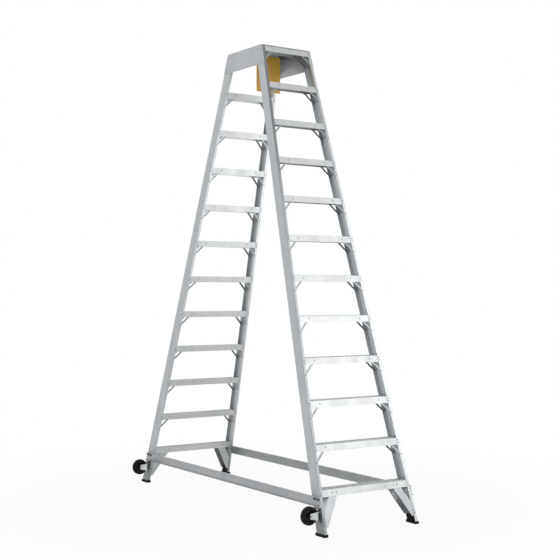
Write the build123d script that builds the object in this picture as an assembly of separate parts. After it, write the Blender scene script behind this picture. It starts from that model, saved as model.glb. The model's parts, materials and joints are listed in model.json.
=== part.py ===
from build123d import *
import math
import os

os.makedirs("parts", exist_ok=True)

# The two leaning sections, in millimetres
step_pitch = 304.8
lean_per_pitch = 88.9
flare_per_pitch = 15.875
step_count = 12
first_step_height = 298.0
floor_half_spread = 1314.5
floor_half_width = 411.4

# Rails
rail_web = 88.9
rail_flange = 22.2
rail_inner_bend = 1.0
sheet = 2.5

# Steps
step_flange = 47.0
step_end_clearance = 0.5
step_rivet_margin = 14.0
tread_rib_count = 8
tread_rib_width = 4.0
tread_rib_height = 1.5

# Knee braces under every step above the first
brace_width = 14.0
brace_reach = 81.0
brace_seat = 20.0
brace_angle = 45.0
strap_lap = 6.0

# Struts under the first step
strut_width = 61.0
strut_reach = 105.0
strut_seat = 20.0
strut_head = 12.0
strut_foot_gap = 2.0
strut_rivet_gap = 34.0
strut_rivet_rise = 18.0
strut_rivet_pitch = 22.0
strut_rivet_count = 3

# Rivets
rivet_diameter = 4.8
rivet_head_diameter = 9.6
rivet_head_height = 2.4
rivet_tail_diameter = 7.4
rivet_tail_height = 2.0
rivet_sink = 2.2
rivet_fit = 0.05

# Shoes
pad_height = 18.0
pad_margin = 7.0
pad_round = 6.0
boot_height = 38.0
boot_fit = 0.3

# Side plates and deck at the top
plate_thickness = 3.0
plate_height = 152.4
plate_round = 8.0
plate_rivet_spread = 48.0
plate_rivet_margin = 26.0
deck_thickness = 6.0
deck_fit = 0.5
deck_rivet_pitch = 150.0
deck_rivet_columns = 3

# Sign plate and its hanger
sign_width = 222.0
sign_height = 285.0
sign_round = 12.0
sign_drop = 20.0
hanger_leg = 50.0
hanger_foot = 25.0
hanger_length = 180.0
hanger_rivet_pitch = 120.0
sign_rivet_drop = 15.0

# Base bars
bar_low = 192.7
bar_height = 63.5
bar_depth = 19.0
bar_wall = 3.0
bar_bolt_rise = 47.0
bar_bolt_out = 30.0
bar_bolt_in = -10.0

# Bolts and nuts
bolt_diameter = 10.0
bolt_head_across = 16.0
bolt_head_height = 6.4
bolt_nut_height = 8.0
bolt_end = 4.0
bolt_fit = 0.25
thread_fit = 0.05
hex_sides = 6

# Wheels
wheel_diameter = 127.0
tyre_width = 32.0
tyre_round = 8.0
tyre_fit = 0.05
hub_diameter = 92.0
hub_rim = 6.0
hub_plate = 9.0
hub_boss_diameter = 34.0
hub_length = 56.0
hub_side_gap = 0.5
axle_diameter = 12.0
axle_head_across = 18.0
axle_head_height = 7.5
axle_nut_height = 10.0
axle_end = 3.0
axle_fit = 0.05

# Wheel brackets
bracket_thickness = 3.5
bracket_half_height = 46.0
bracket_gap = 10.7
bracket_root = 31.0
bracket_tip = 20.0
bracket_nose = 11.5
nose_round = 11.0
bracket_bolt_reach = 36.0
wheel_web_gap = 12.5
window_height = 46.0
window_width = 18.0
window_round = 4.0
window_rise = 4.0

# Slopes and thicknesses worked out from the sizes above
rise = math.sqrt(step_pitch**2 - lean_per_pitch**2 - flare_per_pitch**2)
lean = lean_per_pitch / rise
flare = flare_per_pitch / rise
lean_angle = math.atan(lean)
flare_angle = math.atan(flare)
slope_cos = math.cos(lean_angle)
side_cos = math.cos(flare_angle)
slope_normal = Vector(math.cos(lean_angle), 0, math.sin(lean_angle))
side_normal = Vector(0, -math.cos(flare_angle), math.sin(flare_angle))
rail_direction = Vector(-lean, flare, 1)
web_run = rail_web / slope_cos
flange_run = sheet / slope_cos
wall_run = sheet / side_cos
grip = 2 * sheet
web_gap = rail_inner_bend + step_end_clearance
top_height = first_step_height + (step_count - 1) * rise
deck_height = top_height + deck_thickness


# Where the near front rail stands at a given height
def rail_x(z):
    return floor_half_spread - z * lean


def rail_y(z):
    return floor_half_width - z * flare


def rail_middle(z):
    return rail_x(z) - web_run / 2


def web_inside(z):
    return rail_y(z) - wall_run


def flange_edge(z):
    return rail_y(z) - rail_flange


def flange_middle(z):
    return (flange_edge(z) + web_inside(z)) / 2


def slope_x(z, depth):
    return rail_x(z) - depth / slope_cos


def step_top(number):
    return first_step_height + (number - 1) * rise


# A seat on the front or rear flange, with its local Z pointing out of the channel
def flange_site(y, z, face, layer):
    depth = 0 if face > 0 else rail_web
    seat = Plane(origin=(slope_x(z, depth), y, z), x_dir=(0, 1, 0), z_dir=slope_normal * face)
    return seat.offset(-layer)


# A seat on the near web, with its local Z pointing away from the ladder
def web_site(x, z):
    return Plane(origin=(x, -rail_y(z), z), x_dir=(1, 0, 0), z_dir=side_normal)


# A flat outline on the near side that follows the outer edges of the rails
def side_outline(low, high, inset):
    low_x = rail_x(low) - inset
    high_x = rail_x(high) - inset
    low_y = low / side_cos
    high_y = high / side_cos
    return Polygon((-low_x, low_y), (low_x, low_y), (high_x, high_y), (-high_x, high_y))


def to_far(shape):
    return mirror(shape, about=Plane.XZ)


def to_rear(shape):
    return mirror(shape, about=Plane.YZ)


# Rivets, bolts and nuts, each with its seat on the local XY plane
def rivet(length):
    head = rivet_head_diameter / 2
    shank = rivet_diameter / 2
    tail = rivet_tail_diameter / 2
    bottom = -length - rivet_tail_height
    dome_radius = (head**2 + rivet_head_height**2) / (2 * rivet_head_height)
    half_turn = math.asin(head / dome_radius) / 2
    crown_drop = dome_radius * (1 - math.cos(half_turn))
    crown = (dome_radius * math.sin(half_turn), rivet_head_height - crown_drop)
    dome = ThreePointArc((head, 0), crown, (0, rivet_head_height))
    stem = Polyline(
        (0, rivet_head_height),
        (0, bottom),
        (tail, bottom),
        (tail, -length),
        (shank, -length),
        (shank, 0),
        (head, 0),
    )
    return revolve(Plane.XZ * make_face([dome, stem]), axis=Axis.Z)


def rivet_hole(length):
    reach = length + rivet_tail_height + rivet_head_height
    middle = (rivet_head_height - rivet_tail_height - length) / 2
    return Pos(0, 0, middle) * Cylinder(rivet_diameter / 2 + rivet_fit, reach)


# A rivet whose head lies flush in the plate, and its hole
def flush_rivet(length):
    head = rivet_head_diameter / 2
    shank = rivet_diameter / 2
    tail = rivet_tail_diameter / 2
    bottom = -length - rivet_tail_height
    outline = Polygon(
        (0, 0),
        (head, 0),
        (shank, -rivet_sink),
        (shank, -length),
        (tail, -length),
        (tail, bottom),
        (0, bottom),
    )
    return revolve(Plane.XZ * outline, axis=Axis.Z)


def flush_hole(length):
    shank = rivet_diameter / 2 + rivet_fit
    head = rivet_head_diameter / 2 + rivet_fit
    return rivet_hole(length) + Pos(0, 0, -rivet_sink / 2) * Cone(shank, head, rivet_sink)


def hex_bolt(diameter, across, head_height, length):
    head = extrude(RegularPolygon(across / 2, hex_sides, major_radius=False), amount=-head_height)
    shank = extrude(Circle(diameter / 2), amount=length)
    return head + shank


def hex_nut(diameter, across, height):
    outline = RegularPolygon(across / 2, hex_sides, major_radius=False)
    outline -= Circle(diameter / 2 + thread_fit)
    return extrude(outline, amount=height)


def drilled(shape, sites, tool):
    return shape - [site * tool for site in sites]


# A round part along X, centred on the origin
def drum(diameter, width):
    return Plane.YZ * Cylinder(diameter / 2, width)


# Seats of the rivets that hold one step between the rails
def step_sites(number, end):
    sites = []
    for face in (1, -1):
        for drop in (step_rivet_margin, step_flange - step_rivet_margin):
            z = step_top(number) - drop * slope_cos
            sites.append(flange_site(end * flange_middle(z), z, face, 0))
    return sites


# One knee brace, laid out from its rivet on the step down to its rivet on the rail
brace_turn = math.radians(brace_angle)
flange_half = (rail_flange - wall_run) / 2
brace_length = (brace_reach + flange_half) / (
    math.cos(brace_turn) - math.sin(brace_turn) * slope_cos * flare
)
brace_clear = (step_flange - brace_seat + math.cos(brace_turn) * brace_width / 2) / math.sin(brace_turn)
brace_meet = (brace_reach - math.sin(brace_turn) * brace_width / 2) / math.cos(brace_turn)
brace_joggle = (brace_clear + brace_meet) / 2


def brace_form():
    outline = Pos(brace_length / 2, 0) * SlotCenterToCenter(brace_length, brace_width)
    outline -= Circle(rivet_diameter / 2 + rivet_fit)
    outline -= Pos(brace_length, 0) * Circle(rivet_diameter / 2 + rivet_fit)
    upper_end = brace_joggle + strap_lap / 2
    lower_end = brace_joggle - strap_lap / 2
    upper_cut = Pos(upper_end - brace_length, 0) * Rectangle(2 * brace_length, 2 * brace_width)
    lower_cut = Pos(lower_end + brace_length, 0) * Rectangle(2 * brace_length, 2 * brace_width)
    upper = Pos(0, 0, -3 * sheet) * extrude(outline & upper_cut, amount=sheet)
    lower = Pos(0, 0, -2 * sheet) * extrude(outline & lower_cut, amount=sheet)
    return Rot(0, 0, -brace_angle) * (upper + lower)


def brace_start(number):
    z = step_top(number) - brace_seat * slope_cos
    return flange_edge(z) - brace_reach, z


def brace_end(number):
    y, z = brace_start(number)
    run = brace_length * math.cos(brace_turn)
    drop = brace_length * math.sin(brace_turn)
    return y + run, z - drop * slope_cos


# One strut, laid out around the top edge of the first step's flange
strut_low = pad_height + boot_height + strut_foot_gap
strut_top_z = first_step_height - strut_seat * slope_cos
strut_top_y = flange_edge(strut_top_z) - strut_reach
strut_low_y = web_inside(strut_low)
strut_low_v = (strut_low - first_step_height) / slope_cos
strut_run = math.hypot(strut_low_y - strut_top_y, strut_low_v + strut_seat)
strut_turn = math.atan2(strut_low_v + strut_seat, strut_low_y - strut_top_y)


# Distance along the slope where the strut's outer edge first reaches the rail flange
def strut_meet():
    across = -math.sin(strut_turn) * strut_width / 2
    along = math.cos(strut_turn) * strut_width / 2
    slope_flare = flare * slope_cos
    space = flange_edge(first_step_height) - slope_flare * (along - strut_seat) - strut_top_y - across
    travel = space / (math.cos(strut_turn) + slope_flare * math.sin(strut_turn))
    return along - strut_seat + travel * math.sin(strut_turn)


def strut_form():
    middle = Pos((strut_top_y + strut_low_y) / 2, (strut_low_v - strut_seat) / 2)
    strap = middle * Rot(0, 0, math.degrees(strut_turn)) * Rectangle(2 * strut_run, strut_width)
    high_v = strut_head - strut_seat
    high_z = first_step_height + high_v * slope_cos
    inner = strut_top_y - strut_run
    room = Polygon(
        (inner, strut_low_v),
        (web_inside(strut_low) - web_gap, strut_low_v),
        (web_inside(high_z) - web_gap, high_v),
        (inner, high_v),
    )
    outline = strap & room
    joggle = (strut_meet() - step_flange) / 2
    half = Rectangle(4 * strut_run, 2 * strut_run)
    upper_cut = Pos(strut_top_y, joggle - strap_lap / 2 + strut_run) * half
    lower_cut = Pos(strut_top_y, joggle + strap_lap / 2 - strut_run) * half
    upper = Pos(0, 0, -3 * sheet) * extrude(outline & upper_cut, amount=sheet)
    lower = Pos(0, 0, -2 * sheet) * extrude(outline & lower_cut, amount=sheet)
    strut = upper + lower
    places = strut_step_places() + strut_rail_places()
    spots = [Pos(y, (z - first_step_height) / slope_cos) for y, z in places]
    return strut - [spot * Cylinder(rivet_diameter / 2 + rivet_fit, rail_web) for spot in spots]


def strut_step_places():
    return [(strut_top_y + side * strut_rivet_gap / 2, strut_top_z) for side in (-1, 1)]


def strut_rail_places():
    heights = [strut_low + strut_rivet_rise + i * strut_rivet_pitch for i in range(strut_rivet_count)]
    return [(flange_middle(z), z) for z in heights]


# The straps turned for each end of a step and for the front and rear flanges
def turned_forms(form):
    turned = {}
    for end in (-1, 1):
        for face in (1, -1):
            shape = form
            if end < 0:
                shape = mirror(shape, about=Plane.YZ)
            if face < 0:
                shape = mirror(shape, about=Plane.XZ)
            turned[end, face] = shape
    return turned


# Rivets that pass through the rails at one end, and through each step
rail_sites = {-1: [], 1: []}
step_holes = {number: [] for number in range(1, step_count + 1)}
step_rivet_sites = []
brace_rivet_sites = []
strut_rivet_sites = []
for number in range(1, step_count + 1):
    for end in (-1, 1):
        sites = step_sites(number, end)
        rail_sites[end] += sites
        step_holes[number] += sites
        step_rivet_sites += sites

braces = []
brace_forms = turned_forms(brace_form())
for number in range(2, step_count + 1):
    for end in (-1, 1):
        for face in (1, -1):
            start_y, start_z = brace_start(number)
            end_y, end_z = brace_end(number)
            braces.append(flange_site(end * start_y, start_z, face, 0) * brace_forms[end, face])
            step_site = flange_site(end * start_y, start_z, face, sheet)
            rail_site = flange_site(end * end_y, end_z, face, 0)
            step_holes[number].append(step_site)
            rail_sites[end].append(rail_site)
            brace_rivet_sites += [step_site, rail_site]

struts = []
strut_forms = turned_forms(strut_form())
for end in (-1, 1):
    for face in (1, -1):
        struts.append(flange_site(0, first_step_height, face, 0) * strut_forms[end, face])
        for y, z in strut_step_places():
            step_site = flange_site(end * y, z, face, sheet)
            step_holes[1].append(step_site)
            strut_rivet_sites.append(step_site)
        for y, z in strut_rail_places():
            rail_site = flange_site(end * y, z, face, 0)
            rail_sites[end].append(rail_site)
            strut_rivet_sites.append(rail_site)

# Seats on the near webs for the side plates, the base bars and the wheel brackets
bar_high = bar_low + bar_height
bar_bolt_z = bar_low + bar_bolt_rise
bar_bolt_sites = [
    web_site(rail_middle(bar_bolt_z) + bar_bolt_out, bar_bolt_z),
    web_site(rail_middle(bar_bolt_z) + bar_bolt_in, bar_bolt_z),
]
plate_low = deck_height - plate_height
plate_rivet_heights = (plate_low + plate_rivet_margin, top_height - plate_rivet_margin)
plate_rivet_sites = []
for z in plate_rivet_heights:
    for side in (-1, 1):
        plate_rivet_sites.append(web_site(rail_middle(z) + side * plate_rivet_spread / 2, z))
bracket_z = bar_low - bracket_gap - bracket_half_height
bracket_x = rail_middle(bracket_z)
bracket_frame = web_site(bracket_x, bracket_z)
bracket_bolt_frames = [Plane(bracket_frame * Pos(0, side * bracket_bolt_reach)) for side in (-1, 1)]


# Rails
def rail_face(z):
    outer = Pos(rail_middle(z), rail_flange / 2 - rail_y(z)) * Rectangle(web_run, rail_flange)
    outer = fillet(outer.vertices().group_by(Axis.Y)[0], rail_inner_bend + sheet)
    inner_y = wall_run + rail_flange / 2 - rail_y(z)
    inner = Pos(rail_middle(z), inner_y) * Rectangle(web_run - 2 * flange_run, rail_flange)
    inner = fillet(inner.vertices().group_by(Axis.Y)[0], rail_inner_bend)
    return Pos(0, 0, z) * (outer - inner)


rail_length = (top_height - pad_height) * rail_direction.length
plain_rail = extrude(rail_face(pad_height), amount=rail_length, dir=rail_direction.normalized())
plain_rail = drilled(plain_rail, rail_sites[-1], rivet_hole(grip))
plate_hole = Pos(0, 0, plate_thickness) * rivet_hole(plate_thickness + sheet)
plain_rail = drilled(plain_rail, plate_rivet_sites, plate_hole)
bolt_hole = Cylinder(bolt_diameter / 2 + bolt_fit, 2 * bar_depth)
plain_rail = drilled(plain_rail, bar_bolt_sites, bolt_hole)
wheel_rail = drilled(plain_rail, bracket_bolt_frames, bolt_hole)


# Steps, each a channel with its flanges along the slope of the section
def step_form(number):
    top = step_top(number)
    low = top - step_flange * slope_cos
    outline = Polygon(
        (slope_x(top, sheet), top),
        (slope_x(low, sheet), low),
        (slope_x(low, 2 * sheet), low),
        (slope_x(top - sheet, 2 * sheet), top - sheet),
        (slope_x(top - sheet, rail_web - 2 * sheet), top - sheet),
        (slope_x(low, rail_web - 2 * sheet), low),
        (slope_x(low, rail_web - sheet), low),
        (slope_x(top, rail_web - sheet), top),
    )
    if number < step_count:
        back = slope_x(top, rail_web - sheet)
        rib_pitch = (slope_x(top, sheet) - back) / tread_rib_count
        for i in range(tread_rib_count):
            rib_x = back + (i + 1 / 2) * rib_pitch
            outline += Pos(rib_x, top) * Rectangle(tread_rib_width, 2 * tread_rib_height)
    half_length = web_inside(top + tread_rib_height) - web_gap
    step = extrude(Plane.XZ * outline, amount=half_length, both=True)
    if number == step_count:
        step = drilled(step, deck_sites, deck_hole)
    return drilled(step, step_holes[number], rivet_hole(grip))


# Shoes, each a pad under the rail with a boot inside the channel
def shoe_form():
    z = pad_height
    pad_x = web_run + 2 * pad_margin
    pad_y = rail_flange + 2 * pad_margin
    footprint = Pos(rail_middle(z), rail_flange / 2 - rail_y(z)) * RectangleRounded(pad_x, pad_y, pad_round)
    pad = extrude(footprint, amount=pad_height)
    boot_x = web_run - 2 * flange_run - 2 * boot_fit
    boot_y = rail_flange - wall_run - boot_fit
    boot_middle = wall_run + boot_fit + boot_y / 2 - rail_y(z)
    core = Pos(rail_middle(z), boot_middle, z) * RectangleRounded(boot_x, boot_y, rail_inner_bend)
    length = boot_height * rail_direction.length
    return pad + extrude(core, amount=length, dir=rail_direction.normalized())


# Side plate, outside the near webs
side_frame = Plane(origin=(0, -floor_half_width, 0), x_dir=(1, 0, 0), z_dir=side_normal)
plate_outline = side_outline(plate_low, deck_height, 0)
plate_outline = fillet(plate_outline.vertices(), plate_round)
side_plate = side_frame * extrude(plate_outline, amount=plate_thickness)
all_plate_sites = plate_rivet_sites + [
    web_site(-site.origin.X, site.origin.Z) for site in plate_rivet_sites
]
side_plate = drilled(side_plate, all_plate_sites, plate_hole)

# Base bar, a channel with its flat back on the near webs
bar = extrude(side_outline(bar_low, bar_high, 0), amount=bar_depth)
trough = side_outline(bar_low + bar_wall, bar_high - bar_wall, -bar_depth)
bar -= Pos(0, 0, bar_wall) * extrude(trough, amount=bar_depth)
base_bar = side_frame * bar
all_bar_sites = bar_bolt_sites + [web_site(-site.origin.X, site.origin.Z) for site in bar_bolt_sites]
base_bar = drilled(base_bar, all_bar_sites, bolt_hole)

# Deck plate on the top steps
deck_half_depth = rail_x(top_height)
deck_half_width = rail_y(deck_height) - deck_fit
deck = Box(2 * deck_half_depth, 2 * deck_half_width, deck_thickness)
deck = Pos(0, 0, top_height + deck_thickness / 2) * deck
deck_rivet_length = deck_thickness + sheet
deck_hole = flush_hole(deck_rivet_length)
tread_middle = slope_x(top_height, rail_web / 2)
deck_sites = []
for i in range(deck_rivet_columns):
    y = (i - (deck_rivet_columns - 1) / 2) * deck_rivet_pitch
    deck_sites += [Plane(origin=(side * tread_middle, y, deck_height)) for side in (-1, 1)]
hanger_sites = []
for side in (-1, 1):
    spot = (-hanger_foot / 2, side * hanger_rivet_pitch / 2, deck_height)
    hanger_sites.append(Plane(origin=spot))
deck = drilled(deck, deck_sites + hanger_sites, deck_hole)

# Sign plate hung below the middle of the deck
hanger_low = top_height - hanger_leg
hanger = Polygon(
    (0, top_height),
    (-hanger_foot, top_height),
    (-hanger_foot, top_height - sheet),
    (-sheet, top_height - sheet),
    (-sheet, hanger_low),
    (0, hanger_low),
)
sign_hanger = extrude(Plane.XZ * hanger, amount=hanger_length / 2, both=True)
sign_hanger = drilled(sign_hanger, hanger_sites, deck_hole)
sign_top = top_height - sign_drop
sign_outline = Pos(0, sign_top - sign_height / 2) * RectangleRounded(sign_width, sign_height, sign_round)
sign_plate = extrude(Plane.YZ * sign_outline, amount=sheet)
sign_sites = []
for side in (-1, 1):
    spot = (sheet, side * hanger_rivet_pitch / 2, sign_top - sign_rivet_drop)
    sign_sites.append(Plane(origin=spot, x_dir=(0, 1, 0), z_dir=(1, 0, 0)))
sign_hanger = drilled(sign_hanger, sign_sites, rivet_hole(grip))
sign_plate = drilled(sign_plate, sign_sites, rivet_hole(grip))

# Wheel bracket, a base plate on the web with an arm on each side of the wheel
axle_reach = wheel_diameter / 2 + wheel_web_gap
arm_gap = hub_length / 2 + hub_side_gap
bracket_half_width = arm_gap + bracket_thickness


def bracket_form():
    base = Box(2 * bracket_half_width, 2 * bracket_half_height, bracket_thickness)
    base = Pos(0, 0, bracket_thickness / 2) * base
    tip = Pos(0, axle_reach) * RectangleRounded(2 * bracket_tip, 2 * bracket_nose, nose_round)
    root = Pos(0, bracket_thickness / 2) * Rectangle(2 * bracket_root, bracket_thickness)
    arm = make_hull(tip.edges() + root.edges())
    window = RectangleRounded(window_height, window_width, window_round)
    arm -= Pos(0, window_rise + window_width / 2) * window
    arm -= Pos(0, axle_reach) * Circle(axle_diameter / 2 + bolt_fit)
    arm = extrude(arm, amount=bracket_thickness)
    bracket = base
    for edge in (-bracket_half_width, arm_gap):
        bracket += Plane(origin=(edge, 0, 0), x_dir=(0, 1, 0), z_dir=(1, 0, 0)) * arm
    holes = [Pos(0, side * bracket_bolt_reach) * bolt_hole for side in (-1, 1)]
    return bracket - holes


# Wheel, a tyre on a hub that turns on the axle
def tyre_form():
    tyre = drum(wheel_diameter, tyre_width)
    tyre = fillet(tyre.edges().filter_by(GeomType.CIRCLE), tyre_round)
    return tyre - drum(hub_diameter + 2 * tyre_fit, 2 * tyre_width)


def hub_form():
    hub = drum(hub_diameter, tyre_width) - drum(hub_diameter - 2 * hub_rim, 2 * tyre_width)
    hub += drum(hub_diameter - hub_rim, hub_plate)
    hub += drum(hub_boss_diameter, hub_length)
    return hub - drum(axle_diameter + 2 * axle_fit, 2 * hub_length)


axle_length = 2 * bracket_half_width + axle_nut_height + axle_end
axle_frame = Plane(origin=(-bracket_half_width, 0, 0), x_dir=(0, 1, 0), z_dir=(1, 0, 0))
nut_frame = Plane(origin=(bracket_half_width, 0, 0), x_dir=(0, 1, 0), z_dir=(1, 0, 0))
axle_bolt = axle_frame * hex_bolt(axle_diameter, axle_head_across, axle_head_height, axle_length)
axle_nut = nut_frame * hex_nut(axle_diameter, axle_head_across, axle_nut_height)
wheel_frame = bracket_frame.offset(axle_reach)

# Bolts and nuts on the near side of the front section
bar_bolt_length = sheet + bar_wall + bolt_nut_height + bolt_end
bar_bolt = hex_bolt(bolt_diameter, bolt_head_across, bolt_head_height, bar_bolt_length)
bracket_bolt_length = bracket_thickness + sheet + bolt_nut_height + bolt_end
bracket_bolt = mirror(
    hex_bolt(bolt_diameter, bolt_head_across, bolt_head_height, bracket_bolt_length), about=Plane.XY
)
nut = hex_nut(bolt_diameter, bolt_head_across, bolt_nut_height)
inner_nut = mirror(nut, about=Plane.XY)
bar_bolts = [site.offset(-sheet) * bar_bolt for site in bar_bolt_sites]
bar_nuts = [site.offset(bar_wall) * nut for site in bar_bolt_sites]
bracket_bolts = [frame.offset(bracket_thickness) * bracket_bolt for frame in bracket_bolt_frames]
bracket_nuts = [frame.offset(-sheet) * inner_nut for frame in bracket_bolt_frames]


# A group of separate pieces, on both sides or both sections as asked
def with_far(shapes):
    return shapes + [to_far(shape) for shape in shapes]


def with_rear(shapes):
    return shapes + [to_rear(shape) for shape in shapes]


section_rivet = rivet(grip)
plate_rivet = rivet(plate_thickness + sheet)
deck_rivet = flush_rivet(deck_rivet_length)
plate_rivets = [site.offset(plate_thickness) * plate_rivet for site in plate_rivet_sites]

# Every node, in the frame of the two sections
nodes = {
    "front_near_rail": wheel_rail,
    "front_far_rail": to_far(plain_rail),
    "rear_near_rail": to_rear(wheel_rail),
    "rear_far_rail": to_rear(to_far(plain_rail)),
}
for number in range(1, step_count + 1):
    step = step_form(number)
    nodes[f"front_step_{number:02d}"] = step
    nodes[f"rear_step_{number:02d}"] = to_rear(step)
nodes["front_knee_braces"] = braces
nodes["rear_knee_braces"] = [to_rear(brace) for brace in braces]
nodes["base_struts"] = with_rear(struts)
shoe = shoe_form()
nodes["front_near_shoe"] = shoe
nodes["front_far_shoe"] = to_far(shoe)
nodes["rear_near_shoe"] = to_rear(shoe)
nodes["rear_far_shoe"] = to_rear(to_far(shoe))
nodes["deck_plate"] = deck
nodes["near_side_plate"] = side_plate
nodes["far_side_plate"] = to_far(side_plate)
nodes["near_base_bar"] = base_bar
nodes["far_base_bar"] = to_far(base_bar)
wheel_pieces = {
    "wheel_tyre": wheel_frame * tyre_form(),
    "wheel_hub": wheel_frame * hub_form(),
    "wheel_bracket": bracket_frame * bracket_form(),
    "wheel_axle": wheel_frame * axle_bolt,
}
for name, shape in wheel_pieces.items():
    nodes[f"front_{name}"] = shape
    nodes[f"rear_{name}"] = to_rear(shape)
nodes["axle_nuts"] = with_rear([wheel_frame * axle_nut])
nodes["base_bar_bolts"] = with_rear(with_far(bar_bolts))
nodes["bracket_bolts"] = with_rear(bracket_bolts)
nodes["bolt_nuts"] = with_rear(with_far(bar_nuts) + bracket_nuts)
nodes["step_rivets"] = with_rear([site * section_rivet for site in step_rivet_sites])
nodes["brace_rivets"] = with_rear([site * section_rivet for site in brace_rivet_sites])
nodes["strut_rivets"] = with_rear([site * section_rivet for site in strut_rivet_sites])
nodes["side_plate_rivets"] = with_rear(with_far(plate_rivets))
nodes["deck_rivets"] = [site * deck_rivet for site in deck_sites + hanger_sites]
nodes["sign_plate"] = sign_plate
nodes["sign_hanger"] = sign_hanger
nodes["sign_rivets"] = [site * section_rivet for site in sign_sites]

# The origin is the middle of the whole footprint, wheels included
axle_centre = wheel_frame.origin
near_reach = wheel_diameter / 2 - axle_centre.Y
far_reach = max(rail_y(pad_height) + pad_margin, rail_y(bar_low) + bar_depth * side_cos)
frame_shift = Pos(0, (near_reach - far_reach) / 2, 0)

for name, shape in nodes.items():
    if isinstance(shape, list):
        shape = Compound(children=[solid for piece in shape for solid in piece.solids()])
    export_step(frame_shift * shape, f"parts/{name}.step")

print("axle centre", axle_centre + frame_shift.position)
print("deck height", deck_height, "step rise", rise)
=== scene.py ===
"""Dresses the double-sided step ladder: metals, rubber, paint, tread teeth, floor, light and camera."""

import json
import math

import bmesh
import bpy
from mathutils import Euler, Matrix, Vector


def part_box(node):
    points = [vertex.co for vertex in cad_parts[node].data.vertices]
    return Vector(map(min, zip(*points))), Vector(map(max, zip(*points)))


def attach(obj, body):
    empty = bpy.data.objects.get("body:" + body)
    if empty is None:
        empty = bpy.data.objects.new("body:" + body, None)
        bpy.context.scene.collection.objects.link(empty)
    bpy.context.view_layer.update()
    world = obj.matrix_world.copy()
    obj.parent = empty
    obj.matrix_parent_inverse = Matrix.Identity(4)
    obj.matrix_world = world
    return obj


FRAME_BODY = "ladder_frame"
SECTIONS = ("front", "rear")

# Camera that took the photograph, in metres, radians and millimetres
CAMERA_PLACE = Vector((7.2506, -4.7791, 1.6512))
CAMERA_YAW = 2.54176
CAMERA_PITCH = 0.0084
CAMERA_ROLL = 0.00362
CAMERA_LENS = 71.5
CAMERA_SENSOR = 36.0
UP = Vector((0.0, 0.0, 1.0))

# Grip teeth along the ribs of each tread, in metres
RIB_COUNT = 8
RIB_WIDTH = 0.004
TOOTH_PITCH = 0.010
TOOTH_LENGTH = 0.006
TOOTH_HEIGHT = 0.0015
TOOTH_SINK = 0.0002
TOOTH_END_GAP = 0.030

# Colours as linear red, green and blue
WHITE = (1.0, 1.0, 1.0)
BLACK = (0.0, 0.0, 0.0)
RAIL_COLOUR = (0.575, 0.605, 0.62)
STEP_COLOUR = (0.60, 0.615, 0.62)
STRAP_COLOUR = (0.33, 0.34, 0.35)
STRUT_COLOUR = (0.48, 0.495, 0.505)
PLATE_COLOUR = (0.56, 0.58, 0.61)
# The hanger is a lighter copy of the plate metal, as painted light where it hangs in shade
LIT_HANGER_COLOUR = (0.86, 0.88, 0.89)
BAR_COLOUR = (0.50, 0.515, 0.53)
# The far bar is a darker copy of the bar metal, as painted shade
SHADED_FAR_BAR_COLOUR = (0.37, 0.385, 0.39)
# Rivets are dark as painted shade around their heads
SHADED_RIVET_COLOUR = (0.20, 0.205, 0.21)
BRACKET_COLOUR = (0.625, 0.645, 0.65)
BOLT_COLOUR = (0.20, 0.20, 0.205)
RUBBER_COLOUR = (0.006, 0.006, 0.0065)
PLASTIC_COLOUR = (0.010, 0.010, 0.011)
PAINT_COLOUR = (0.96, 0.55, 0.08)

# Turns that lay a texture along a piece, and the scale that leaves its size alone
UPRIGHT = (0.0, 0.0, 0.0)
ALONG_X = (0.0, math.radians(90.0), 0.0)
ALONG_Y = (math.radians(90.0), 0.0, 0.0)
EVEN_SCALE = (1.0, 1.0, 1.0)

# Roughness of the noise textures, and the range in which most of their values lie
NOISE_ROUGHNESS = 0.6
NOISE_LOW = 0.3
NOISE_HIGH = 0.7

# Drawn aluminium. A shade or tint is a texture value with what multiplies the colour there
DRAWN_METALLIC = 0.6
DRAWN_ROUGH = 0.40
STEP_ROUGH = 0.46
DRAWN_ROUGH_RISE = 0.06
DRAWN_ROUGH_DROP = 0.04
STREAK_SCALE = (700.0, 700.0, 3.0)
STREAK_DETAIL = 3.0
STREAK_SHADES = ((0.3, 0.95), (0.5, 1.0), (0.7, 1.05))
STREAK_STRENGTH = 0.08
STREAK_DEPTH = 0.0005
PATCH_SCALE = (9.0, 9.0, 2.5)
PATCH_DETAIL = 4.0
PATCH_TINTS = ((0.3, (0.92, 0.925, 0.93)), (0.6, WHITE))
SCUFF_SCALE = (160.0, 160.0, 90.0)
SCUFF_DETAIL = 2.0
SCUFF_TINTS = ((0.25, (0.72, 0.72, 0.73)), (0.38, WHITE))
SCUFF_SHARE = 0.4

# Zinc-plated steel
PLATED_METALLIC = 0.8
BRACKET_ROUGH = 0.36
FASTENER_ROUGH = 0.42
PLATED_ROUGH_RISE = 0.12
PLATED_ROUGH_DROP = 0.05
CRYSTAL_SCALE = 140.0
CRYSTAL_SHADES = ((0.0, 0.88), (0.7, 1.08))
GRAIN_SCALE = 900.0
GRAIN_DETAIL = 2.0
GRAIN_STRENGTH = 0.15
GRAIN_DEPTH = 0.0004
WEAR_SCALE = 45.0
WEAR_DETAIL = 4.0
WEAR_TINTS = ((0.32, (0.70, 0.69, 0.67)), (0.55, WHITE))
WEAR_SHARE = 0.8

# Moulded rubber and plastic
MOULDED_SPECULAR = 0.15
MOULDED_ROUGH_DROP = 0.06
MOULDED_ROUGH_RISE = 0.10
SHOE_ROUGH = 0.72
SHOE_SKIN_SCALE = 700.0
TYRE_ROUGH = 0.62
TYRE_SKIN_SCALE = 420.0
RUBBER_SKIN_DEPTH = 0.0008
HUB_ROUGH = 0.45
HUB_SKIN_SCALE = 900.0
HUB_SKIN_DEPTH = 0.0004
SKIN_DETAIL = 3.0
SKIN_STRENGTH = 0.35
DUST_SCALE = 38.0
DUST_DETAIL = 5.0
DUST_SHADES = ((0.35, 1.0), (0.62, 1.7), (0.8, 3.2))

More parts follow.
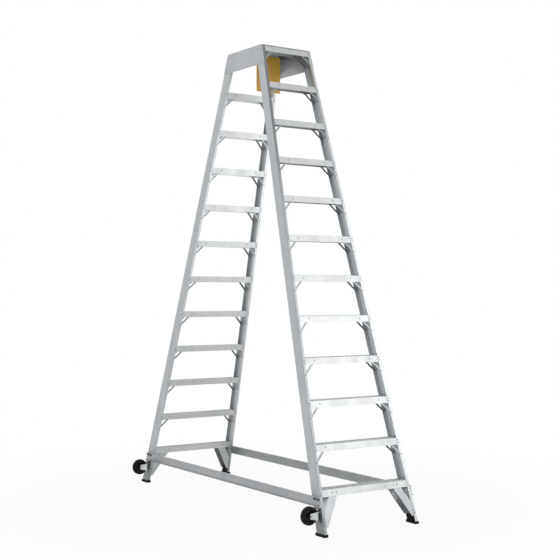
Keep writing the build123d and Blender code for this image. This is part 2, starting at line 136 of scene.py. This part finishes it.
# Painted sheet
PAINT_DULL = 0.5
PAINT_SLEEK = 0.34
CLOUD_SCALE = 14.0
CLOUD_DETAIL = 4.0
CLOUD_SHADES = ((0.3, 0.86), (0.7, 1.08))
CHIP_SCALE = 130.0
CHIP_DETAIL = 2.0
CHIP_TINTS = ((0.22, (0.55, 0.52, 0.46)), (0.27, WHITE))
CHIP_SHARE = 0.8
PEEL_SCALE = 520.0
PEEL_DETAIL = 2.0
PEEL_STRENGTH = 0.12
PEEL_DEPTH = 0.0005

# Painted shade on the rail feet, darkening them below a height in metres, except on the far front rail
FOOT_SHADE_TINT = (0.50, 0.51, 0.505)
FOOT_LOW = 0.12
FOOT_HIGH = 0.34
UNSHADED_FOOT_RAIL = "front_far_rail"

# Painted shade on the front face of the near front rail: darker than its sides and darkest at the top
FACE_RAIL = "front_near_rail"
FACE_SHADE_TINT = (0.60, 0.61, 0.62)
FACE_DEPTH = 0.003
FACE_FADE = 0.001
FACE_TOP_SHADE_TINT = (0.36, 0.37, 0.38)
FACE_TOP_LOW = 2.3
FACE_TOP_HIGH = 2.9

# Painted shade on the underside of the deck, darkened from a depth below its top
UNDER_SHADE_TINT = (0.20, 0.205, 0.21)
UNDER_DEPTH = 0.003
UNDER_FADE = 0.001

# Painted shade and dirt on the bracket roots, darkened up to a distance from the rail web
ROOT_SHADE_AND_DIRT_TINT = (0.36, 0.365, 0.36)
ROOT_DEPTH = 0.021
ROOT_FADE = 0.009

# Floor, which shows as plain white beyond the far reach, and world
FLOOR_SIZE = 60.0
FLOOR_COLOUR = (0.9, 0.9, 0.9)
NEAR_SHARE = 0.94
FAR_SHARE = 1.0
NEAR_REACH = 1.2
FAR_REACH = 3.5
WORLD_LEVEL = 0.30
WHITE_LEVEL = 1.0

# Lamps, in metres and watts
KEY_PLACE = Vector((4.6, 2.8, 3.1))
KEY_AIM = Vector((0.95, 0.0, 1.3))
KEY_SIZE = (4.5, 3.0)
KEY_SPREAD = math.radians(62.0)
KEY_POWER = 14.5
LOW_PLACE = Vector((3.0, 2.8, 0.6))
LOW_AIM = Vector((-0.5, 0.0, 2.95))
LOW_SIZE = (3.5, 1.6)
LOW_SPREAD = math.radians(60.0)
LOW_POWER = 6.6
TOP_PLACE = Vector((1.5, -3.0, 8.0))
TOP_AIM = Vector((0.0, 0.0, 1.0))
TOP_SIZE = (6.0, 6.0)
TOP_SPREAD = math.radians(180.0)
TOP_POWER = 120.0


def opaque(colour):
    return (*colour, 1.0)


def shade(colour, factor):
    return tuple(min(1.0, part * factor) for part in colour)


# A material with its shader and a short way to add and join nodes
class Look:
    def __init__(self, name):
        self.material = bpy.data.materials.new(name)
        self.material.use_nodes = True
        self.tree = self.material.node_tree
        self.shader = self.tree.nodes["Principled BSDF"]

    def node(self, kind, **values):
        made = self.tree.nodes.new(kind)
        for key, value in values.items():
            setattr(made, key, value)
        return made

    def join(self, source, target):
        self.tree.links.new(source, target)

    def set(self, name, value):
        self.shader.inputs[name].default_value = value

    def feed(self, name, source):
        self.join(source, self.shader.inputs[name])

    def coordinates(self, turn=UPRIGHT, scale=EVEN_SCALE):
        place = self.node("ShaderNodeTexCoord")
        mapping = self.node("ShaderNodeMapping")
        mapping.inputs["Rotation"].default_value = turn
        mapping.inputs["Scale"].default_value = scale
        self.join(place.outputs["Object"], mapping.inputs["Vector"])
        return mapping.outputs["Vector"]

    def noise(self, vector, detail, scale=1.0):
        made = self.node("ShaderNodeTexNoise")
        made.inputs["Scale"].default_value = scale
        made.inputs["Detail"].default_value = detail
        made.inputs["Roughness"].default_value = NOISE_ROUGHNESS
        self.join(vector, made.inputs["Vector"])
        return made.outputs["Fac"]

    def tints(self, value, stops):
        made = self.node("ShaderNodeValToRGB")
        first, last = made.color_ramp.elements
        first.position, first.color = stops[0][0], opaque(stops[0][1])
        last.position, last.color = stops[-1][0], opaque(stops[-1][1])
        for position, colour in stops[1:-1]:
            made.color_ramp.elements.new(position).color = opaque(colour)
        self.join(value, made.inputs["Fac"])
        return made.outputs["Color"]

    def shades(self, value, colour, stops):
        return self.tints(value, [(position, shade(colour, factor)) for position, factor in stops])

    def spread(self, value, low, high, start=NOISE_LOW, end=NOISE_HIGH):
        made = self.node("ShaderNodeMapRange")
        made.inputs["From Min"].default_value = start
        made.inputs["From Max"].default_value = end
        made.inputs["To Min"].default_value = low
        made.inputs["To Max"].default_value = high
        self.join(value, made.inputs["Value"])
        return made.outputs["Result"]

    def blend(self, kind, first, second, share=1.0):
        made = self.node("ShaderNodeMix", data_type="RGBA", blend_type=kind)
        made.inputs["Factor"].default_value = share
        self.join(first, made.inputs["A"])
        self.join(second, made.inputs["B"])
        return made.outputs["Result"]

    # Two tints with a fade between two places on an axis
    def cover(self, turn, axis, low, high, low_tint, high_tint):
        parts = self.node("ShaderNodeSeparateXYZ")
        self.join(self.coordinates(turn), parts.inputs["Vector"])
        share = self.spread(parts.outputs[axis], 0.0, 1.0, low, high)
        return self.tints(share, ((0.0, low_tint), (1.0, high_tint)))

    # Multiplies the base colour by a cover, which lays on painted shade (with dirt at the bracket roots)
    def multiply_cover(self, cover):
        clean = self.shader.inputs["Base Color"].links[0].from_socket
        self.feed("Base Color", self.blend("MULTIPLY", clean, cover))

    def bump(self, height, strength, distance):
        made = self.node("ShaderNodeBump")
        made.inputs["Strength"].default_value = strength
        made.inputs["Distance"].default_value = distance
        self.join(height, made.inputs["Height"])
        self.feed("Normal", made.outputs["Normal"])


# Drawn aluminium: fine streaks along the piece, dull patches and small scuffs
def drawn_metal(name, colour, turn, rough=DRAWN_ROUGH):
    look = Look(name)
    look.set("Metallic", DRAWN_METALLIC)
    streaks = look.noise(look.coordinates(turn, STREAK_SCALE), STREAK_DETAIL)
    patches = look.noise(look.coordinates(turn, PATCH_SCALE), PATCH_DETAIL)
    scuffs = look.noise(look.coordinates(turn, SCUFF_SCALE), SCUFF_DETAIL)
    streaked = look.shades(streaks, colour, STREAK_SHADES)
    dulled = look.blend("MULTIPLY", streaked, look.tints(patches, PATCH_TINTS))
    scuffed = look.blend("MULTIPLY", dulled, look.tints(scuffs, SCUFF_TINTS), SCUFF_SHARE)
    look.feed("Base Color", scuffed)
    look.feed("Roughness", look.spread(patches, rough + DRAWN_ROUGH_RISE, rough - DRAWN_ROUGH_DROP))
    look.bump(streaks, STREAK_STRENGTH, STREAK_DEPTH)
    return look


# Drawn aluminium of a rail: painted shade on the foot of all but one, and painted shade on the front
# face of one
def rail_metal(name, turn):
    look = drawn_metal(f"{name}_metal", RAIL_COLOUR, turn)
    if name == UNSHADED_FOOT_RAIL:
        return look
    # Painted shade darkening the rail foot
    cover = look.cover(UPRIGHT, "Z", FOOT_LOW, FOOT_HIGH, FOOT_SHADE_TINT, WHITE)
    # Painted shade on the front face of one rail, darkest at the top
    if name == FACE_RAIL:
        low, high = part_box(name)
        face = high[0] * math.cos(turn.y) + low[2] * math.sin(turn.y) - FACE_DEPTH
        sides = look.cover(turn, "X", face - FACE_FADE, face, WHITE, BLACK)
        front = look.cover(UPRIGHT, "Z", FACE_TOP_LOW, FACE_TOP_HIGH, FACE_SHADE_TINT, FACE_TOP_SHADE_TINT)
        cover = look.blend("DARKEN", cover, look.blend("LIGHTEN", sides, front))
    look.multiply_cover(cover)
    return look


# Drawn aluminium of the deck, with painted shade underneath
def deck_metal(name):
    look = drawn_metal(f"{name}_metal", PLATE_COLOUR, ALONG_X)
    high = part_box(name)[1]
    under = high[2] - UNDER_DEPTH
    look.multiply_cover(look.cover(UPRIGHT, "Z", under - UNDER_FADE, under, UNDER_SHADE_TINT, WHITE))
    return look


# Zinc-plated steel: faint crystal patches over a fine grain
def plated_steel(name, colour, rough):
    look = Look(name)
    look.set("Metallic", PLATED_METALLIC)
    place = look.coordinates()
    crystals = look.node("ShaderNodeTexVoronoi")
    crystals.inputs["Scale"].default_value = CRYSTAL_SCALE
    look.join(place, crystals.inputs["Vector"])
    grain = look.noise(place, GRAIN_DETAIL, GRAIN_SCALE)
    wear = look.noise(place, WEAR_DETAIL, WEAR_SCALE)
    patched = look.shades(crystals.outputs["Distance"], colour, CRYSTAL_SHADES)
    worn = look.blend("MULTIPLY", patched, look.tints(wear, WEAR_TINTS), WEAR_SHARE)
    look.feed("Base Color", worn)
    look.feed("Roughness", look.spread(wear, rough + PLATED_ROUGH_RISE, rough - PLATED_ROUGH_DROP))
    look.bump(grain, GRAIN_STRENGTH, GRAIN_DEPTH)
    return look


# Plated steel of a wheel bracket, with its root darkened by painted shade and dirt
def bracket_metal(name):
    look = plated_steel(f"{name}_metal", BRACKET_COLOUR, BRACKET_ROUGH)
    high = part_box(name)[1]
    root = high[1] - ROOT_DEPTH
    look.multiply_cover(look.cover(UPRIGHT, "Y", root - ROOT_FADE, root, WHITE, ROOT_SHADE_AND_DIRT_TINT))
    return look


# Moulded rubber or plastic: a fine skin texture with dust in the grain
def moulded(name, colour, rough, skin_scale, skin_depth):
    look = Look(name)
    look.set("Specular IOR Level", MOULDED_SPECULAR)
    place = look.coordinates()
    skin = look.noise(place, SKIN_DETAIL, skin_scale)
    dust = look.noise(place, DUST_DETAIL, DUST_SCALE)
    look.feed("Base Color", look.shades(dust, colour, DUST_SHADES))
    look.feed("Roughness", look.spread(dust, rough - MOULDED_ROUGH_DROP, rough + MOULDED_ROUGH_RISE))
    look.bump(skin, SKIN_STRENGTH, skin_depth)
    return look


# Paint on sheet: soft unevenness and small chips
def painted_sheet(name, colour):
    look = Look(name)
    place = look.coordinates()
    clouds = look.noise(place, CLOUD_DETAIL, CLOUD_SCALE)
    chips = look.noise(place, CHIP_DETAIL, CHIP_SCALE)
    peel = look.noise(place, PEEL_DETAIL, PEEL_SCALE)
    clouded = look.shades(clouds, colour, CLOUD_SHADES)
    chipped = look.blend("MULTIPLY", clouded, look.tints(chips, CHIP_TINTS), CHIP_SHARE)
    look.feed("Base Color", chipped)
    look.feed("Roughness", look.spread(clouds, PAINT_DULL, PAINT_SLEEK))
    look.bump(peel, PEEL_STRENGTH, PEEL_DEPTH)
    return look


def step_box(section, number):
    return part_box(f"{section}_step_{number:02d}")


# How far the front section leans back for each metre of height
def section_lean():
    low_first, high_first = step_box("front", 1)
    low_second, high_second = step_box("front", 2)
    return (low_first[0] - low_second[0]) / (high_second[2] - high_first[2])


# One ridge of a grip tooth across a rib
def add_tooth(mesh, x, y, z):
    half_width = RIB_WIDTH / 2
    half_length = TOOTH_LENGTH / 2
    ends = []
    for side in (-half_width, half_width):
        ends.append(
            [
                mesh.verts.new((x + side, y - half_length, z - TOOTH_SINK)),
                mesh.verts.new((x + side, y + half_length, z - TOOTH_SINK)),
                mesh.verts.new((x + side, y, z + TOOTH_HEIGHT)),
            ]
        )
    back, front = ends
    mesh.faces.new(reversed(back))
    mesh.faces.new(front)
    corners = len(back)
    for i in range(corners):
        j = (i + 1) % corners
        mesh.faces.new((back[i], back[j], front[j], front[i]))


# Rows of teeth on the ribs of one tread
def tread_teeth(section, number, lean, material):
    low, high = step_box(section, number)
    flange_run = (high[2] - low[2]) * lean
    back, front = low[0], high[0] - flange_run
    if section == "rear":
        back, front = low[0] + flange_run, high[0]
    rib_pitch = (front - back) / RIB_COUNT
    row = high[1] - low[1] - 2 * TOOTH_END_GAP
    count = int(row / TOOTH_PITCH)
    start = (low[1] + high[1] - (count - 1) * TOOTH_PITCH) / 2
    mesh = bmesh.new()
    for rib in range(RIB_COUNT):
        x = back + (rib + 0.5) * rib_pitch
        for i in range(count):
            add_tooth(mesh, x, start + i * TOOTH_PITCH, high[2])
    data = bpy.data.meshes.new(f"{section}_tread_teeth_{number:02d}")
    mesh.to_mesh(data)
    mesh.free()
    data.materials.append(material)
    teeth = bpy.data.objects.new(data.name, data)
    bpy.context.scene.collection.objects.link(teeth)
    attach(teeth, FRAME_BODY)


# One for the rays that should meet plain white, and nought for the rest
def white_rays(tree):
    light_path = tree.nodes.new("ShaderNodeLightPath")
    result = light_path.outputs["Is Camera Ray"]
    for kind in ("Is Glossy Ray", "Is Transmission Ray"):
        either = tree.nodes.new("ShaderNodeMath")
        either.operation = "MAXIMUM"
        tree.links.new(result, either.inputs[0])
        tree.links.new(light_path.outputs[kind], either.inputs[1])
        result = either.outputs["Value"]
    return result


# White to the camera and in reflections, with the object's shadow kept around its feet
def floor_material():
    look = Look("floor")
    diffuse = look.node("ShaderNodeBsdfDiffuse")
    diffuse.inputs["Color"].default_value = opaque(FLOOR_COLOUR)
    glow = look.node("ShaderNodeEmission")
    glow.inputs["Color"].default_value = opaque(WHITE)
    place = look.node("ShaderNodeTexCoord")
    away = look.node("ShaderNodeVectorMath", operation="LENGTH")
    look.join(place.outputs["Object"], away.inputs["Vector"])
    near = look.spread(away.outputs["Value"], NEAR_SHARE, FAR_SHARE, NEAR_REACH, FAR_REACH)
    share = look.node("ShaderNodeMath", operation="MULTIPLY")
    look.join(white_rays(look.tree), share.inputs[0])
    look.join(near, share.inputs[1])
    mixed = look.node("ShaderNodeMixShader")
    look.join(share.outputs["Value"], mixed.inputs["Fac"])
    look.join(diffuse.outputs["BSDF"], mixed.inputs[1])
    look.join(glow.outputs["Emission"], mixed.inputs[2])
    output = look.tree.nodes["Material Output"]
    look.join(mixed.outputs["Shader"], output.inputs["Surface"])
    return look.material


def add_floor():
    bpy.ops.mesh.primitive_plane_add(size=FLOOR_SIZE)
    floor = bpy.context.object
    floor.name = "floor"
    floor.data.materials.append(floor_material())


# An even world that shows as white to the camera and in reflections
def add_world():
    world = bpy.data.worlds.new("studio")
    world.use_nodes = True
    bpy.context.scene.world = world
    tree = world.node_tree
    background = tree.nodes["Background"]
    background.inputs["Color"].default_value = opaque(WHITE)
    level = tree.nodes.new("ShaderNodeMapRange")
    level.inputs["To Min"].default_value = WORLD_LEVEL
    level.inputs["To Max"].default_value = WHITE_LEVEL
    tree.links.new(white_rays(tree), level.inputs["Value"])
    tree.links.new(level.outputs["Result"], background.inputs["Strength"])


def add_lamp(name, place, aim, size, spread, power):
    data = bpy.data.lights.new(name, "AREA")
    data.shape = "RECTANGLE"
    data.size, data.size_y = size
    data.spread = spread
    data.energy = power
    lamp = bpy.data.objects.new(name, data)
    lamp.location = place
    lamp.rotation_euler = (aim - place).to_track_quat("-Z", "Y").to_euler()
    bpy.context.scene.collection.objects.link(lamp)


def add_camera():
    forward = Vector(
        (
            math.cos(CAMERA_PITCH) * math.cos(CAMERA_YAW),
            math.cos(CAMERA_PITCH) * math.sin(CAMERA_YAW),
            math.sin(CAMERA_PITCH),
        )
    )
    right = forward.cross(UP).normalized()
    above = right.cross(forward)
    turned_right = math.cos(CAMERA_ROLL) * right + math.sin(CAMERA_ROLL) * above
    turned_above = math.cos(CAMERA_ROLL) * above - math.sin(CAMERA_ROLL) * right
    data = bpy.data.cameras.new("camera")
    data.lens = CAMERA_LENS
    data.sensor_width = CAMERA_SENSOR
    camera = bpy.data.objects.new("camera", data)
    turn = Matrix((turned_right, turned_above, -forward)).transposed()
    camera.matrix_world = Matrix.Translation(CAMERA_PLACE) @ turn.to_4x4()
    bpy.context.scene.collection.objects.link(camera)
    bpy.context.scene.camera = camera


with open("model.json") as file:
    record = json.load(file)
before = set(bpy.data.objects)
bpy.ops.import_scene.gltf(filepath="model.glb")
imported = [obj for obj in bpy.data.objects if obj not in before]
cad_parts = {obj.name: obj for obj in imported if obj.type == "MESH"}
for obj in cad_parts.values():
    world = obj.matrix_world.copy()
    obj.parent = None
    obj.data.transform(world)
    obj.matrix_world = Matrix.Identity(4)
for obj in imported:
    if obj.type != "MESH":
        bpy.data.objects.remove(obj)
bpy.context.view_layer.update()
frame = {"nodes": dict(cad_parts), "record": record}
bpy.context.scene.view_settings.view_transform = "Standard"

# Materials for each slot, with the streaks laid along the pieces
slot_looks = {
    "step_aluminium": drawn_metal("step_metal", STEP_COLOUR, ALONG_Y, STEP_ROUGH),
    "strap_aluminium": drawn_metal("strap_metal", STRAP_COLOUR, UPRIGHT),
    "plate_aluminium": drawn_metal("plate_metal", PLATE_COLOUR, ALONG_X),
    "bar_aluminium": drawn_metal("bar_metal", BAR_COLOUR, ALONG_X),
    # Dark rivets stand for painted shade around their heads
    "rivet_aluminium": plated_steel("shaded_rivet_metal", SHADED_RIVET_COLOUR, FASTENER_ROUGH),
    "bracket_steel": plated_steel("bright_metal", BRACKET_COLOUR, BRACKET_ROUGH),
    "bolt_steel": plated_steel("bolt_metal", BOLT_COLOUR, FASTENER_ROUGH),
    "shoe_rubber": moulded("shoe_rubber", RUBBER_COLOUR, SHOE_ROUGH, SHOE_SKIN_SCALE, RUBBER_SKIN_DEPTH),
    "tyre_rubber": moulded("tyre_rubber", RUBBER_COLOUR, TYRE_ROUGH, TYRE_SKIN_SCALE, RUBBER_SKIN_DEPTH),
    "hub_plastic": moulded("hub_plastic", PLASTIC_COLOUR, HUB_ROUGH, HUB_SKIN_SCALE, HUB_SKIN_DEPTH),
    "sign_paint": painted_sheet("sign_paint", PAINT_COLOUR),
}

# Materials for single pieces, which come before those of their slots
lean = section_lean()
lean_turn = math.atan(lean)
node_looks = {
    "base_struts": drawn_metal("strut_metal", STRUT_COLOUR, UPRIGHT),
    # The far bar's darker metal is painted shade
    "far_base_bar": drawn_metal("shaded_far_bar_metal", SHADED_FAR_BAR_COLOUR, ALONG_X),
    # The hanger's lighter metal is painted light
    "sign_hanger": drawn_metal("lit_hanger_metal", LIT_HANGER_COLOUR, ALONG_Y),
    "deck_plate": deck_metal("deck_plate"),
}
for section, turn in zip(SECTIONS, (lean_turn, -lean_turn)):
    for side in ("near", "far"):
        name = f"{section}_{side}_rail"
        node_looks[name] = rail_metal(name, Euler((0.0, turn, 0.0)))
    name = f"{section}_wheel_bracket"
    node_looks[name] = bracket_metal(name)

for part in frame["record"]["subparts"]:
    name = part["node"]
    look = node_looks.get(name) or slot_looks[part["material_slot"]]
    node = frame["nodes"][name]
    node.data.materials.clear()
    node.data.materials.append(look.material)

# The top step of each section lies under the deck and has no teeth
step_count = sum(name.startswith("front_step_") for name in frame["nodes"])
for section in SECTIONS:
    for number in range(1, step_count):
        tread_teeth(section, number, lean, slot_looks["step_aluminium"].material)

add_floor()
add_world()
add_lamp("key", KEY_PLACE, KEY_AIM, KEY_SIZE, KEY_SPREAD, KEY_POWER)
add_lamp("low", LOW_PLACE, LOW_AIM, LOW_SIZE, LOW_SPREAD, LOW_POWER)
add_lamp("top", TOP_PLACE, TOP_AIM, TOP_SIZE, TOP_SPREAD, TOP_POWER)
add_camera()
